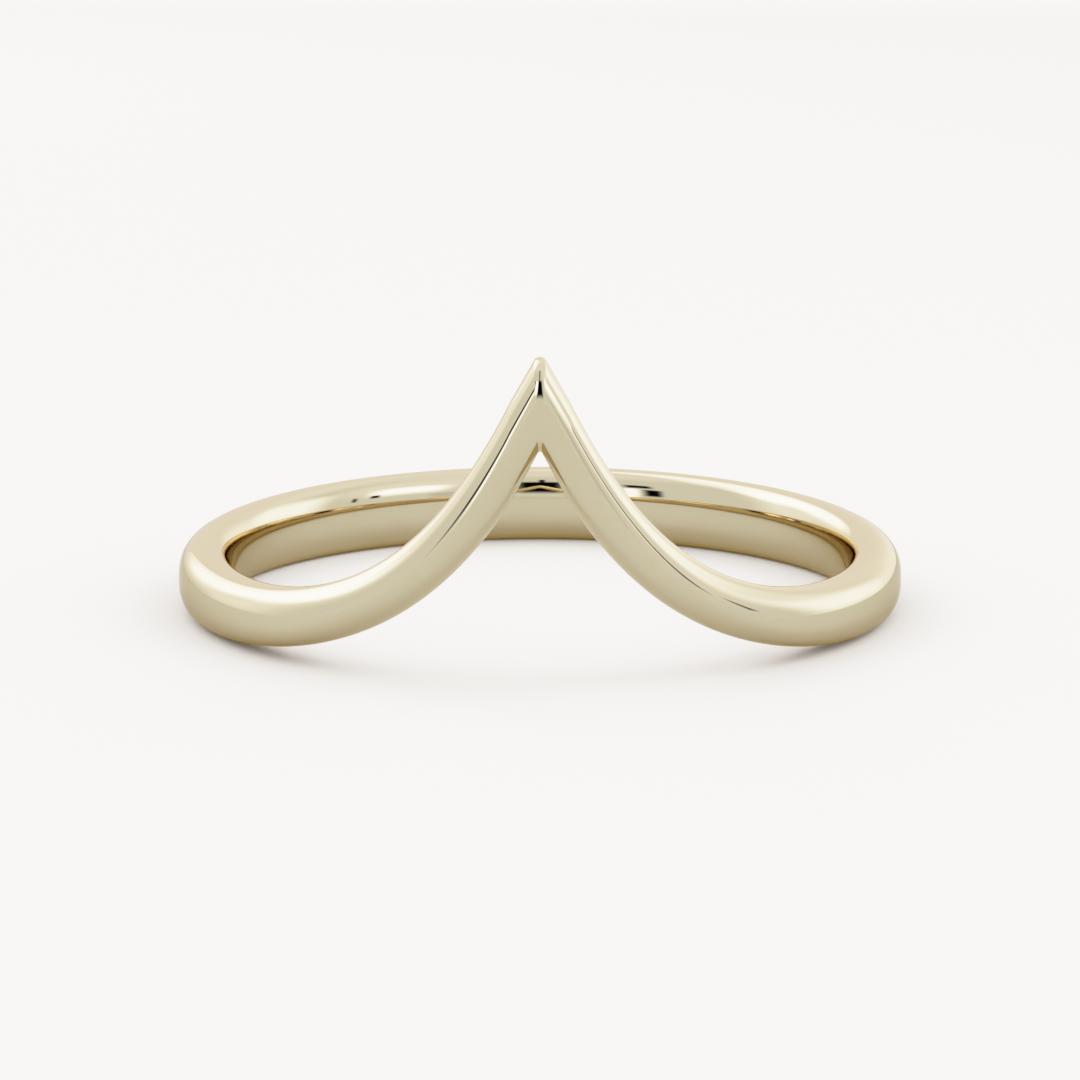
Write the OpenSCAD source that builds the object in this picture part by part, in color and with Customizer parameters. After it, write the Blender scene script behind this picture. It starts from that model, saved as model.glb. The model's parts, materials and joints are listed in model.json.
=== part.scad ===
// Curved wedding band: one piece of polished gold, lying on its side.
// The ring's axis is Z. The shank rests on z = 0 and the chevron's point is at the front, at -Y.

/* [Finger hole] */
// Inside diameter of the ring
hole_d = 16.9; // [14:0.1:22]
// Depth that sizing takes off the domed inside, which leaves a true cylinder
sizing_cut = 0.03; // [0.02:0.01:0.06]

/* [Band] */
// Wall, from the finger hole to the outer face
wall = 1.4; // [1:0.05:2.2]
// Width of the band at the back
back_w = 2.15; // [1.6:0.05:4]
// Width of each arm where the two arms meet
arm_w = 1.1; // [0.9:0.05:1.6]
// How full the section's corners are: 2 is an oval, 4 is nearly square
fullness = 2.65; // [2:0.05:4]
// How full they are where the arms bend into the shank
bend_fullness = 2; // [2:0.05:4]
// How far the outer face leans in at the top there, as a share of the wall
bend_lean = 0.1; // [0:0.01:0.2]
// Place of the section's widest line, as a share of the wall from the hole
widest_at = 0.43; // [0.35:0.01:0.6]

/* [Chevron] */
// Height that the band's line climbs from the shank to the sharp apex
climb = 6.5; // [3:0.1:8]
// Half the angle between the arms, seen from the front
half_angle = 27; // [22:0.5:35]
// Share of each straight arm that the bend takes up, from the corner that it rounds
bend_up = 0.8; // [0.3:0.05:0.9]
// Share of the way from that corner to the ring's side that the bend takes up
bend_out = 0.98; // [0.3:0.01:0.98]
// Pull of the bend towards its corner, at the arm's end
pull_up = 0.55; // [0.3:0.05:0.9]
// Pull of the bend towards its corner, at the shank's end
pull_out = 0.83; // [0.3:0.01:0.9]
// Radius of the point's upper edge
point_r = 0.15; // [0.05:0.01:0.4]
// Radius of the notch under the point
notch_r = 0.05; // [0.02:0.01:0.2]

/* [Hidden] */
gold = [0.83, 0.79, 0.66];

// Points round the section, and stations along each part of one side of the ring
section_n = 28;
point_n = 3;
arm_n = 4;
bend_n = 28;
side_n = 2;
back_n = 22;

// Where the section is roundest and leans most: its angle from the front, and how far each of them reaches
roundest_a = 26;
roundest_reach = 14;
lean_reach = 20;

hole_r = hole_d / 2;
widest = wall * widest_at;
slope = 1 / tan(half_angle);

// The bend is a Bezier curve in the front view, with its points as [distance from the middle, height]
corner = [climb / slope, 0];
arm_l = climb / cos(half_angle);
bend_start = corner + bend_up * arm_l * [-sin(half_angle), cos(half_angle)];
bend_end = corner + bend_out * [hole_r - corner[0], 0];
bend = [bend_start, bend_start + (corner - bend_start) * pull_up,
        bend_end + (corner - bend_end) * pull_out, bend_end];
function bezier(c, s) =
    pow(1 - s, 3) * c[0] + 3 * pow(1 - s, 2) * s * c[1] + 3 * (1 - s) * s * s * c[2] + pow(s, 3) * c[3];
function bezier_slope(c, s) =
    let (d = pow(1 - s, 2) * (c[1] - c[0]) + 2 * (1 - s) * s * (c[2] - c[1]) + s * s * (c[3] - c[2]))
    d[1] / d[0];

// A station is [angle from the front, height of the band's line, slope of the line in the front view]
function angle_at(x) = asin(x / hole_r);
function on_arm(x) = [angle_at(x), climb - slope * x, -slope];
function on_bend(s) = let (p = bezier(bend, s)) [angle_at(p[0]), p[1], bezier_slope(bend, s)];
function on_shank(a) = [a, 0, 0];

// The band's line on one side: rounded point, straight arm, bend, side of the ring and back
round_x = point_r * cos(half_angle);
side_a = angle_at(bend_end[0]);
half_line = concat(
    [for (i = [0 : point_n - 1]) on_arm(round_x * i / point_n)],
    [for (i = [0 : arm_n - 1]) on_arm(round_x + (bend_start[0] - round_x) * i / arm_n)],
    [for (i = [0 : bend_n - 1]) on_bend(i / bend_n)],
    [for (i = [0 : side_n - 1]) on_shank(side_a + (90 - side_a) * i / side_n)],
    [for (i = [0 : back_n]) on_shank(90 + 90 * i / back_n)]);

// Width of the band square to its line, and how much longer an upright cut through it is
function width_at(a) = arm_w + (back_w - arm_w) * sin(a / 2);
function stretch(a, m) = sqrt(1 + pow(m * cos(a), 2));

// Share of the bend's own section at angle a
function bend_share(a, reach) = exp(-pow((a - roundest_a) / reach, 2));

// Point k of the section at angle a, as [depth from the hole, share of the half width]
function power(v, e) = sign(v) * pow(abs(v), e);
function section(k, a) =
    let (t = 360 * k / section_n,
         e = 2 / (fullness + (bend_fullness - fullness) * bend_share(a, roundest_reach)),
         deep = cos(t) > 0 ? wall - widest : widest,
         share = power(sin(t), e),
         lean = 1 - bend_lean * bend_share(a, lean_reach) * share)
    [(widest + deep * power(cos(t), e)) * lean, share];

// Height that an edge radius r takes off the sharp mitre at the front, at angle a
function rounded(a, r) =
    let (x = min(hole_r * sin(min(a, 90)), r * cos(half_angle)))
    r / sin(half_angle) - sqrt(r * r - x * x) - slope * x;

// Ring of section points at one station, on the side that its sign gives
function ring(station, side) =
    let (a = station[0], half_w = width_at(a) / 2, long = half_w * stretch(a, station[2]))
    [for (k = [0 : section_n - 1])
        let (p = section(k, a),
             r = hole_r - sizing_cut + p[0] * (wall + sizing_cut) / wall,
             edge_r = notch_r + (point_r - notch_r) * (p[1] + 1) / 2,
             z = half_w + station[1] + p[1] * long - rounded(a, edge_r))
        [side * r * sin(a), -r * cos(a), z]];

last = len(half_line) - 1;
rings = concat(
    [for (i = [0 : last]) ring(half_line[i], 1)],
    [for (i = [1 : last - 1]) ring(half_line[last - i], -1)]);

// The closed band before sizing
module swept_band() {
    n = len(rings);
    function at(i, k) = (i % n) * section_n + k % section_n;
    polyhedron(
        points = [for (r = rings) each r],
        faces = [for (i = [0 : n - 1], k = [0 : section_n - 1])
            each [[at(i, k), at(i + 1, k + 1), at(i + 1, k)], [at(i, k), at(i, k + 1), at(i + 1, k + 1)]]]);
}

// The finger that the band is sized to, longer than the band is high
module finger() {
    spare = 1;
    translate([0, 0, -spare])
    cylinder(h = climb + 2 * back_w + 2 * spare, r = hole_r, $fn = 180);
}

// The band, with its domed inside cut back to the finger hole
module band() {
    color(gold)
    difference() {
        swept_band();
        finger();
    }
}

band();
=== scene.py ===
"""Curved wedding band of polished pale gold, lying on its side on a white table."""

import json
import math

import bpy
from mathutils import Matrix, Vector


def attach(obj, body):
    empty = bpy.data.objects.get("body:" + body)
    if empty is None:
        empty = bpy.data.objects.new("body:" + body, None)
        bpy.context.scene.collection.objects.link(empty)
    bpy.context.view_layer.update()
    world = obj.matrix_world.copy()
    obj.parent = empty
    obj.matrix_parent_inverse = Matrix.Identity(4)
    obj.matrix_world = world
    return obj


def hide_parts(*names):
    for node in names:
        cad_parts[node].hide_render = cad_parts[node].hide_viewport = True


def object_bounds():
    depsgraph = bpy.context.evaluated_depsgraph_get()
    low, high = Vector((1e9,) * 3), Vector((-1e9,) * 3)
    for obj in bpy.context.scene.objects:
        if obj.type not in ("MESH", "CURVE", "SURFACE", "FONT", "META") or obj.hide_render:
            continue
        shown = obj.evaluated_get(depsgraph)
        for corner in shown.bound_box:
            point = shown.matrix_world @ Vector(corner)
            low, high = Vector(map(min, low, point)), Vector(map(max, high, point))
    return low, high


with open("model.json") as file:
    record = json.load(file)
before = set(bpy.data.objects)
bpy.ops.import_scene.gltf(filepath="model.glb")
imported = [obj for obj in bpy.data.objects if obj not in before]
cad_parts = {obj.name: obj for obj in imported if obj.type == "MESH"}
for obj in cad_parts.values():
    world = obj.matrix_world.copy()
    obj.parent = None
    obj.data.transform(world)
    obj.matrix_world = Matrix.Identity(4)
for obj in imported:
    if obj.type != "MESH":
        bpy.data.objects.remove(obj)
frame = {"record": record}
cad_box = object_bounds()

# The band
# One ring of pale yellow gold, cast in one piece and polished to a mirror. Its line climbs from the plain
# shank into a pointed chevron at the front, where both arms are mitred. The inside is domed for comfort.

mm = 0.001
mount = frame["record"]["mounts"][0]
band_sizes = {
    "Hole radius": mount["dims"]["r_mm"] * mm,
    "Outer radius": cad_box[1].y,
    "Back width": 2.15 * mm,
    "Arm width": 1.1 * mm,
    "Fullness": 2.65,
    "Bend fullness": 2.0,
    "Bend lean": 0.1,
    "Roundest angle": math.radians(26),
    "Roundest reach": math.radians(14),
    "Lean reach": math.radians(20),
    "Widest at": 0.43,
    "Climb": 6.5 * mm,
    "Half angle": math.radians(27),
    "Bend up": 0.8,
    "Bend out": 0.98,
    "Pull up": 0.55,
    "Pull out": 0.83,
    "Point radius": 0.15 * mm,
    "Notch radius": 0.05 * mm,
}

# Steps along the parts of one side of the ring, and round its section
point_steps = 18
arm_steps = 24
bend_steps = 130
shank_steps = 120
section_steps = 112

# Points that lie nearer than this are joined, where the grid's edges meet
seam_gap = 0.001 * mm

# The gold by itself in two tones, a painted reflection tone where other gold mirrors it, a painted shade
# tone that darkens the table's shadow, and its tint at its silhouette
gold_warm = (0.632, 0.570, 0.400)
gold_light = (0.644, 0.586, 0.424)
painted_reflection_gold = (0.68, 0.535, 0.295)
painted_shade_gold = (0.27, 0.25, 0.23)
gold_edge_tint = (0.82, 0.77, 0.68)

# The polish: its own dullness, the buffed wave and the hairlines
gloss_rough = 0.02
buffed_patch = 3.5 * mm
buffed_detail = 1.0
buffed_rough = 0.03
buffed_depth = 0.002 * mm
hairlines_round = 40.0
hairlines_along = 4.0
hairline_detail = 2.0
hairline_rough = 0.06
hairline_depth = 0.00006 * mm


class Field:
    """A value that changes over a mesh or a surface. Sums with it become Math nodes of its tree."""

    def __init__(self, tree, socket):
        self.tree = tree
        self.socket = socket

    def math(self, operation, *values):
        node = self.tree.nodes.new("ShaderNodeMath")
        node.operation = operation
        for slot, value in zip(node.inputs, values):
            if isinstance(value, Field):
                self.tree.links.new(value.socket, slot)
            else:
                slot.default_value = value
        return Field(self.tree, node.outputs[0])

    def __add__(self, other):
        return self.math("ADD", self, other)

    def __radd__(self, other):
        return self.math("ADD", other, self)

    def __sub__(self, other):
        return self.math("SUBTRACT", self, other)

    def __rsub__(self, other):
        return self.math("SUBTRACT", other, self)

    def __mul__(self, other):
        return self.math("MULTIPLY", self, other)

    def __rmul__(self, other):
        return self.math("MULTIPLY", other, self)

    def __truediv__(self, other):
        return self.math("DIVIDE", self, other)

    def __rtruediv__(self, other):
        return self.math("DIVIDE", other, self)

    def __pow__(self, other):
        return self.math("POWER", self, other)

    def __rpow__(self, other):
        return self.math("POWER", other, self)

    def call(self, operation, *others):
        return self.math(operation, self, *others)

    def clamped(self):
        return self.math("MINIMUM", self.math("MAXIMUM", self, 0.0), 1.0)


def bezier(p0, p1, p2, p3, s):
    """Point of a cubic curve at s, from 0 to 1."""
    r = 1 - s
    return r * r * r * p0 + 3 * (r * r * s) * p1 + 3 * (r * s * s) * p2 + s * s * s * p3


def bezier_speed(p0, p1, p2, p3, s):
    """How fast the curve's point moves at s, in thirds."""
    r = 1 - s
    return r * r * (p1 - p0) + 2 * (r * s) * (p2 - p1) + s * s * (p3 - p2)


def band_line(size, step):
    """Angle of the band's line round the ring and, seen from the front, its x, its height and its slope."""
    on_point = (step / point_steps).clamped()
    on_arm = ((step - point_steps) / arm_steps).clamped()
    on_bend = ((step - point_steps - arm_steps) / bend_steps).clamped()
    on_shank = ((step - point_steps - arm_steps - bend_steps) / shank_steps).clamped()

    # Seen from the front, the bend is a cubic curve that rounds the corner between the arm and the shank
    hole_r = size["Hole radius"]
    half_angle = size["Half angle"]
    climb = size["Climb"]
    tangent = half_angle.call("TANGENT")
    corner_x = climb * tangent
    start_x = corner_x * (1 - size["Bend up"])
    start_z = climb * size["Bend up"]
    end_x = corner_x + size["Bend out"] * (hole_r - corner_x)
    pull_up = size["Pull up"]
    pull_out = size["Pull out"]
    bend_x = (
        start_x,
        start_x + (corner_x - start_x) * pull_up,
        end_x + (corner_x - end_x) * pull_out,
        end_x,
    )
    bend_z = (start_z, start_z - start_z * pull_up, start_z * 0, start_z * 0)

    round_x = size["Point radius"] * half_angle.call("COSINE")
    straight_x = round_x * on_point + (start_x - round_x) * on_arm
    front_x = straight_x - start_x + bezier(*bend_x, on_bend)
    height = climb - straight_x / tangent - start_z + bezier(*bend_z, on_bend)
    slope = bezier_speed(*bend_z, on_bend) / bezier_speed(*bend_x, on_bend)
    side_angle = (end_x / hole_r).call("ARCSINE")
    angle = (front_x / hole_r).call("ARCSINE") + on_shank * (math.pi - side_angle)
    return angle, front_x, height, slope


def band_section(size, angle, across, along):
    """Radius of a point of the section, and how high it lies as a share of the half width.

    The section is a superellipse that is fuller than an oval, and widest nearer the finger. Where the arms
    bend into the shank it is rounder, and its outer face leans in at the top.
    """
    past_bend = angle - size["Roundest angle"]
    roundness = math.e ** (0 - (past_bend / size["Roundest reach"]) ** 2.0)
    lean = size["Bend lean"] * math.e ** (0 - (past_bend / size["Lean reach"]) ** 2.0)
    fullness = size["Fullness"] + (size["Bend fullness"] - size["Fullness"]) * roundness
    reach = (across.call("ABSOLUTE") ** fullness + along.call("ABSOLUTE") ** fullness) ** (1 / fullness)
    outward = across / reach
    share = along / reach

    hole_r = size["Hole radius"]
    wall = size["Outer radius"] - hole_r
    widest = wall * size["Widest at"]
    depth = outward.call("MAXIMUM", 0.0) * (wall - widest) + outward.call("MINIMUM", 0.0) * widest
    radius = hole_r + (widest + depth) * (1 - lean * share)
    return radius, share


def mitre_loss(size, front_x, share):
    """Height that the mitre loses where it is rounded over, at its top edge and a little in the notch."""
    half_angle = size["Half angle"]
    edge_r = size["Notch radius"] + (size["Point radius"] - size["Notch radius"]) * (share + 1) / 2
    edge_x = front_x.call("MINIMUM", edge_r * half_angle.call("COSINE"))
    edge_rise = (edge_r * edge_r - edge_x * edge_x).call("SQRT")
    return edge_r / half_angle.call("SINE") - edge_rise - edge_x / half_angle.call("TANGENT")


def vector(tree, *parts):
    """Socket with the vector that three values make."""
    node = tree.nodes.new("ShaderNodeCombineXYZ")
    for slot, part in zip(node.inputs, parts):
        tree.links.new(part.socket, slot)
    return node.outputs[0]


def stored(tree, name, data_type, domain, value):
    """Node that keeps a value on the mesh under a name."""
    node = tree.nodes.new("GeometryNodeStoreNamedAttribute")
    node.data_type = data_type
    node.domain = domain
    node.inputs["Name"].default_value = name
    tree.links.new(value, node.inputs["Value"])
    return node


def band_tree(material):
    """Geometry nodes that roll a flat grid, stations by section points, into the closed band."""
    tree = bpy.data.node_groups.new("band_sweep", "GeometryNodeTree")
    inlet = tree.nodes.new("NodeGroupInput")
    for name in band_sizes:
        tree.interface.new_socket(name=name, in_out="INPUT", socket_type="NodeSocketFloat")
    tree.interface.new_socket(name="Geometry", in_out="OUTPUT", socket_type="NodeSocketGeometry")
    size = {name: Field(tree, inlet.outputs[name]) for name in band_sizes}

    side_steps = point_steps + arm_steps + bend_steps + shank_steps
    grid = tree.nodes.new("GeometryNodeMeshGrid")
    grid.inputs["Vertices X"].default_value = 2 * side_steps + 1
    grid.inputs["Vertices Y"].default_value = section_steps + 1
    split = tree.nodes.new("ShaderNodeSeparateXYZ")
    tree.links.new(grid.outputs["UV Map"], split.inputs[0])
    round_ring = Field(tree, split.outputs["X"])
    round_section = Field(tree, split.outputs["Y"])

    # The grid's two ends meet at the front, and its middle is the back of the ring
    step = (1 - (2 * round_ring - 1).call("ABSOLUTE")) * side_steps
    side = (0.5 - round_ring).call("SIGN")
    angle, front_x, height, slope = band_line(size, step)
    turn = round_section * (2 * math.pi)
    across = turn.call("COSINE")
    along = turn.call("SINE")
    radius, share = band_section(size, angle, across, along)

    # An upright cut through the sloping band is longer than its width
    width = size["Arm width"] + (size["Back width"] - size["Arm width"]) * (angle / 2).call("SINE")
    stretch = (1 + (slope * angle.call("COSINE")) ** 2.0).call("SQRT")
    x = side * radius * angle.call("SINE")
    y = 0 - radius * angle.call("COSINE")
    z = width / 2 + height + share * width / 2 * stretch - mitre_loss(size, front_x, share)

    # The way of the polish: round the section in X and Y, and along the ring in Z
    way = vector(tree, across, along, side * angle + (1 - side) * math.pi)
    chart = stored(tree, "UVMap", "FLOAT2", "CORNER", grid.outputs["UV Map"])
    grain = stored(tree, "polish_way", "FLOAT_VECTOR", "POINT", way)
    roll = tree.nodes.new("GeometryNodeSetPosition")
    tree.links.new(vector(tree, x, y, z), roll.inputs["Position"])
    seam = tree.nodes.new("GeometryNodeMergeByDistance")
    seam.inputs["Distance"].default_value = seam_gap
    smooth = tree.nodes.new("GeometryNodeSetShadeSmooth")
    realize = tree.nodes.new("GeometryNodeRealizeInstances")
    finish = tree.nodes.new("GeometryNodeSetMaterial")
    finish.inputs["Material"].default_value = material
    outlet = tree.nodes.new("NodeGroupOutput")
    chain = [grid, chart, grain, roll, seam, smooth, realize, finish, outlet]
    for before, after in zip(chain, chain[1:]):
        tree.links.new(before.outputs[0], after.inputs[0])
    return tree


def cloud(tree, place, scale, detail):
    """Soft random value from 0 to 1. The scale is in patches for each unit of the place."""
    stretch = tree.nodes.new("ShaderNodeMapping")
    stretch.inputs["Scale"].default_value = scale
    noise = tree.nodes.new("ShaderNodeTexNoise")
    noise.inputs["Scale"].default_value = 1.0
    noise.inputs["Detail"].default_value = detail
    tree.links.new(place, stretch.inputs["Vector"])
    tree.links.new(stretch.outputs["Vector"], noise.inputs["Vector"])
    return Field(tree, noise.outputs[0])


def mixed(tree, share, first, second):
    """Colour that goes from the first to the second as the share goes from 0 to 1."""
    mix = tree.nodes.new("ShaderNodeMix")
    mix.data_type = "RGBA"
    tree.links.new(share, mix.inputs[0])

    # Inputs 6 and 7 and output 2 are the node's sockets for colours
    for slot, colour in ((mix.inputs[6], first), (mix.inputs[7], second)):
        if isinstance(colour, tuple):
            slot.default_value = (*colour, 1)
        else:
            tree.links.new(colour, slot)
    return mix.outputs[2]


def polished_gold():
    """Pale yellow gold with a mirror polish, fine hairlines along the band and a slight buffed wave."""
    material = bpy.data.materials.new("polished_gold")
    material.use_nodes = True
    tree = material.node_tree
    shader = tree.nodes["Principled BSDF"]
    shader.inputs["Metallic"].default_value = 1.0
    shader.inputs["Specular Tint"].default_value = (*gold_edge_tint, 1)

    way = tree.nodes.new("ShaderNodeAttribute")
    way.attribute_name = "polish_way"
    spot = tree.nodes.new("ShaderNodeTexCoord")
    fine = (hairlines_round, hairlines_round, hairlines_along)
    hairlines = cloud(tree, way.outputs["Vector"], fine, hairline_detail)
    buffing = cloud(tree, spot.outputs["Object"], (1 / buffed_patch,) * 3, buffed_detail)

    ray = tree.nodes.new("ShaderNodeLightPath")
    tone = mixed(tree, buffing.socket, gold_warm, gold_light)
    # Painted reflection tone: where gold mirrors gold, it shows a deeper gold
    tone = mixed(tree, ray.outputs["Is Glossy Ray"], tone, painted_reflection_gold)
    # Painted shade: diffuse rays find the gold dark grey, so its bounce light is dimmed and the table's
    # shadow by the ring is darker
    tone = mixed(tree, ray.outputs["Is Diffuse Ray"], tone, painted_shade_gold)
    tree.links.new(tone, shader.inputs["Base Color"])
    dullness = gloss_rough + buffing * buffed_rough + (hairlines * 2 - 1).clamped() * hairline_rough
    tree.links.new(dullness.socket, shader.inputs["Roughness"])

    surface = tree.nodes.new("ShaderNodeBump")
    surface.inputs["Distance"].default_value = 1.0
    tree.links.new((hairlines * hairline_depth + buffing * buffed_depth).socket, surface.inputs["Height"])
    tree.links.new(surface.outputs["Normal"], shader.inputs["Normal"])
    return material


gold = polished_gold()
band = bpy.data.objects.new("chevron_band", bpy.data.meshes.new("chevron_band"))
bpy.context.scene.collection.objects.link(band)
sweep = band.modifiers.new("sweep", "NODES")
sweep.node_group = band_tree(gold)
for item in sweep.node_group.interface.items_tree:
    if item.in_out == "INPUT":
        sweep[item.identifier] = band_sizes[item.name]
bpy.context.view_layer.update()
solid = bpy.data.meshes.new_from_object(band.evaluated_get(bpy.context.evaluated_depsgraph_get()))
band.modifiers.clear()
band.data = solid
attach(band, "root")
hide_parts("band")

# The table
# A matt white table top that the ring lies on, one flat sheet that runs far past the ring. The polish
# mirrors it up to the horizon in a painted reflection tone: dimmer than the camera sees it, with a painted
# warm glow in its shadows.

table_half = 2.0
table_rough = 0.9
table_white = (0.86, 0.834, 0.772)
painted_reflection_white = (0.368, 0.447, 0.547)
painted_warm_glow = (0.32, 0.195, 0.0)

# Corners of a flat sheet, in half sizes
square = ((-1, -1), (1, -1), (1, 1), (-1, 1))


def matt_white():
    """White table top. Glossy rays find it in a painted reflection tone, a dimmer white with a painted warm
    glow.
    """
    material = bpy.data.materials.new("white_table")
    material.use_nodes = True
    tree = material.node_tree
    shader = tree.nodes["Principled BSDF"]
    shader.inputs["Roughness"].default_value = table_rough
    shader.inputs["Specular IOR Level"].default_value = 0.0
    # Painted warm glow and painted reflection white, which only glossy rays see
    shader.inputs["Emission Color"].default_value = (*painted_warm_glow, 1)
    ray = tree.nodes.new("ShaderNodeLightPath")
    tone = mixed(tree, ray.outputs["Is Glossy Ray"], table_white, painted_reflection_white)
    tree.links.new(tone, shader.inputs["Base Color"])
    tree.links.new(ray.outputs["Is Glossy Ray"], shader.inputs["Emission Strength"])
    return material


table = bpy.data.objects.new("table", bpy.data.meshes.new("table"))
table.data.from_pydata([(x * table_half, y * table_half, 0) for x, y in square], [], [(0, 1, 2, 3)])
table.data.materials.append(matt_white())
bpy.context.scene.collection.objects.link(table)

# The studio light
# A white room, with soft light panels behind the ring and beside it, and dark boards in front of it
# that give the polish its contrast. Panels and boards fade out towards their edges. Three wide lamps
# light the table alone.

room_light = 0.97
room = bpy.data.worlds.new("room")
room.use_nodes = True
room.node_tree.nodes["Background"].inputs["Color"].default_value = (1, 1, 1, 1)
room.node_tree.nodes["Background"].inputs["Strength"].default_value = room_light
bpy.context.scene.world = room

lamp_spread = math.radians(62)
lamp_tilt = math.radians(60)


def lamp(name, azimuth, strength):
    """Wide lamp that the polish doesn't mirror. Azimuth 0 is to the front, and the tilt is from upright."""
    light = bpy.data.lights.new(name, "SUN")
    light.energy = strength
    light.angle = lamp_spread
    facing = Matrix.Rotation(math.radians(azimuth), 3, "Z") @ Matrix.Rotation(lamp_tilt, 3, "X")
    holder = bpy.data.objects.new(name, light)
    holder.rotation_euler = facing.to_euler()
    holder.visible_glossy = False
    bpy.context.scene.collection.objects.link(holder)


# Lamps behind the ring and at its sides, which throw its soft shadow
lamp("left_lamp", azimuth=245, strength=2.8)
lamp("right_lamp", azimuth=108, strength=3.7)
lamp("back_lamp", azimuth=175, strength=1.3)


def soft_edge_group():
    """Mask of a flat panel: 1 in its middle, fading to 0 at its edges."""
    group = bpy.data.node_groups.new("soft_edge", "ShaderNodeTree")
    group.interface.new_socket(name="Fade across", in_out="INPUT", socket_type="NodeSocketFloat")
    group.interface.new_socket(name="Fade up", in_out="INPUT", socket_type="NodeSocketFloat")
    group.interface.new_socket(name="Mask", in_out="OUTPUT", socket_type="NodeSocketFloat")
    inlet = group.nodes.new("NodeGroupInput")
    outlet = group.nodes.new("NodeGroupOutput")
    chart = group.nodes.new("ShaderNodeUVMap")
    chart.uv_map = "UVMap"
    split = group.nodes.new("ShaderNodeSeparateXYZ")
    group.links.new(chart.outputs[0], split.inputs[0])
    mask = 1.0
    for side, name in (("X", "Fade across"), ("Y", "Fade up")):
        to_edge = 1 - (2 * Field(group, split.outputs[side]) - 1).call("ABSOLUTE")
        share = (to_edge / Field(group, inlet.outputs[name])).clamped()
        mask = mask * (share * share * (3 - 2 * share))
    group.links.new(mask.socket, outlet.inputs["Mask"])
    return group


soft_edge = soft_edge_group()
panel_distance = 450 * mm
panel_tint = (1.0, 0.96, 0.99)


def panel_light(name, glow, fade_across, fade_up):
    """Black sheet that glows, or stays dark without a glow. Its fades are shares of its half sizes."""
    material = bpy.data.materials.new(name)
    material.use_nodes = True
    tree = material.node_tree
    shader = tree.nodes["Principled BSDF"]
    shader.inputs["Base Color"].default_value = (0, 0, 0, 1)
    shader.inputs["Roughness"].default_value = 1.0
    shader.inputs["Specular IOR Level"].default_value = 0.0
    shader.inputs["Emission Color"].default_value = (*panel_tint, 1)
    shader.inputs["Emission Strength"].default_value = glow
    mask = tree.nodes.new("ShaderNodeGroup")
    mask.node_tree = soft_edge
    mask.inputs["Fade across"].default_value = fade_across
    mask.inputs["Fade up"].default_value = fade_up
    tree.links.new(mask.outputs["Mask"], shader.inputs["Alpha"])
    return material


def panel(name, azimuth, elevation, across, up, fade, glow, turn=0.0, nearer=0.0):
    """Flat panel that faces the ring: its place and half sizes in degrees, with azimuth 0 to the front."""
    away = panel_distance * (1 - nearer)
    half = [away * math.tan(math.radians(size + fade)) for size in (across, up)]
    mesh = bpy.data.meshes.new(name)
    mesh.from_pydata([(x * half[0], -away, z * half[1]) for x, z in square], [], [(0, 1, 2, 3)])
    chart = mesh.uv_layers.new(name="UVMap")
    for corner, (x, z) in zip(chart.data, square):
        corner.uv = ((x + 1) / 2, (z + 1) / 2)
    sideways = Matrix.Rotation(math.radians(azimuth), 4, "Z")
    upward = Matrix.Rotation(math.radians(-elevation), 4, "X")
    turned = Matrix.Rotation(math.radians(-turn), 4, "Y")
    mesh.transform(sideways @ upward @ turned)
    mesh.materials.append(panel_light(name, glow, 2 * fade / (across + fade), 2 * fade / (up + fade)))

    board = bpy.data.objects.new(name, mesh)
    bpy.context.scene.collection.objects.link(board)
    board.visible_camera = False


# Soft lights behind the ring, at its sides and at the front right
panel("back_glow", azimuth=180, elevation=35, across=38, up=30, fade=20, glow=1.27)
panel("back_light", azimuth=-141, elevation=42, across=21, up=24, fade=18, glow=2.4, nearer=0.05)
panel("back_core", azimuth=-141, elevation=26, across=14, up=8, fade=8, turn=30, glow=2.9, nearer=0.1)
panel("left_glow", azimuth=-112, elevation=18, across=15, up=18, fade=12, glow=1.4, nearer=0.03)
panel("left_light", azimuth=-127, elevation=39, across=19, up=9, fade=9, glow=3.2, nearer=0.12)
panel("side_light", azimuth=116, elevation=17, across=19, up=15, fade=10, glow=2.1, nearer=0.1)
panel("side_glow", azimuth=147, elevation=8, across=19, up=10, fade=10, glow=1.7, nearer=0.05)
panel("front_glow", azimuth=58, elevation=38, across=22, up=18, fade=14, glow=1.25)
panel("front_light", azimuth=54, elevation=24, across=13, up=7, fade=7, glow=3.1, nearer=0.05)

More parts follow.
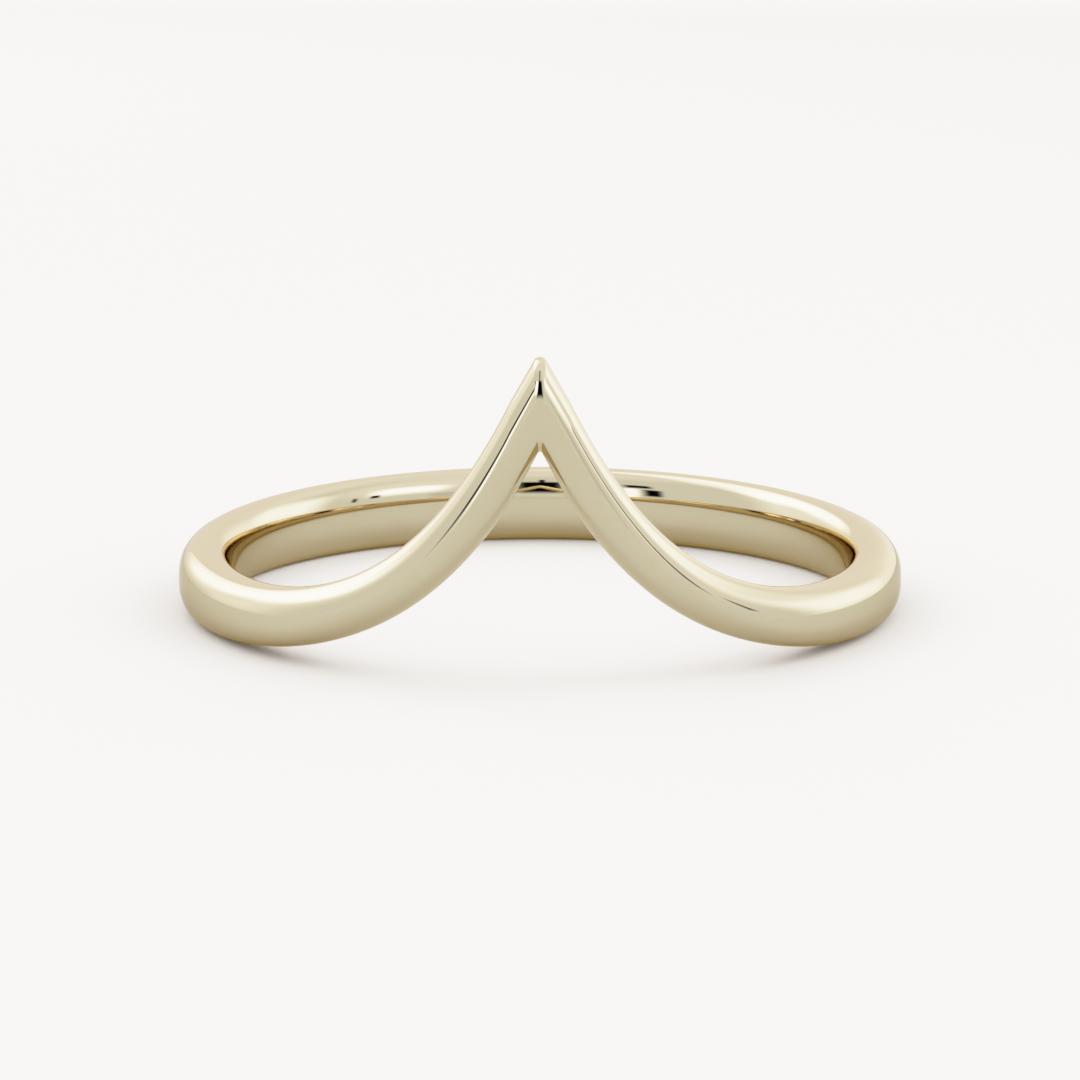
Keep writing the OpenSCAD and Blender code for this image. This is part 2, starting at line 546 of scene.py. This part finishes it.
# Dark boards and small lights at the front, which draw the lines along the arms and at the point
panel("front_board", azimuth=0, elevation=18, across=9, up=14, fade=4, glow=0.0)
panel("tall_board", azimuth=-1, elevation=44, across=1, up=11, fade=0.8, glow=0.0, nearer=0.938)
panel("point_light", azimuth=-18, elevation=19, across=7, up=11, fade=3, glow=3.0, nearer=0.1)
panel("left_board", azimuth=-45, elevation=11, across=3.5, up=7, fade=2, glow=0.0)
panel("left_strip", azimuth=-36, elevation=10, across=2.7, up=9, fade=2, glow=2.5, nearer=0.05)
panel("left_flag", azimuth=-40, elevation=26, across=5, up=4, fade=2, glow=0.0, nearer=0.1)
panel("right_board", azimuth=38, elevation=6, across=5, up=4, fade=3, glow=0.8, nearer=0.1)
panel("right_flag", azimuth=67.5, elevation=14.5, across=2, up=3, fade=1.2, glow=0.0, nearer=0.12)
panel("side_flag", azimuth=76.8, elevation=12, across=1, up=4, fade=1.2, glow=0.0, nearer=0.12)

# Light from straight above
panel("top_glow", azimuth=0, elevation=90, across=28, up=28, fade=14, glow=1.18)

# The camera
# It stands at the photograph's angle, low in front of the ring and a little above it, and looks at the
# ring through a long lens.

camera_distance = 88.73 * mm
camera_elevation = math.radians(12.467)
camera_pitch = math.radians(11.364)
camera_lens = 107.58
camera_sensor = 36.0
camera_near = 1 * mm
camera_far = 10.0
camera = bpy.data.objects.new("camera", bpy.data.cameras.new("camera"))
camera.data.sensor_width = camera_sensor
camera.data.lens = camera_lens
camera.data.clip_start = camera_near
camera.data.clip_end = camera_far
camera.location = Vector((0, -math.cos(camera_elevation), math.sin(camera_elevation))) * camera_distance
camera.rotation_euler = (math.pi / 2 - camera_pitch, 0, 0)
bpy.context.scene.collection.objects.link(camera)
bpy.context.scene.camera = camera

# Film with a soft shoulder: it keeps the light up to the shoulder as it is, and bends towards white above
film_shoulder = 0.6
film_white = 0.975
film_range = 4.0
film_steps = (0.3, 0.6, 0.7, 0.8, 0.9, 1.0, 1.15, 1.3, 1.5, 1.8, 2.2, 3.0)


def film(light):
    """How bright a light is in the picture."""
    room_left = film_white - film_shoulder
    if light < film_shoulder:
        return light
    return film_white - room_left * math.exp((film_shoulder - light) / room_left)


view = bpy.context.scene.view_settings
view.view_transform = "Standard"
view.use_curve_mapping = True
view.curve_mapping.white_level = (film_range, film_range, film_range)
film_curve = view.curve_mapping.curves[3]
film_curve.points[1].location = (1.0, film(film_range))
for light in film_steps:
    film_curve.points.new(light / film_range, film(light))
view.curve_mapping.update()
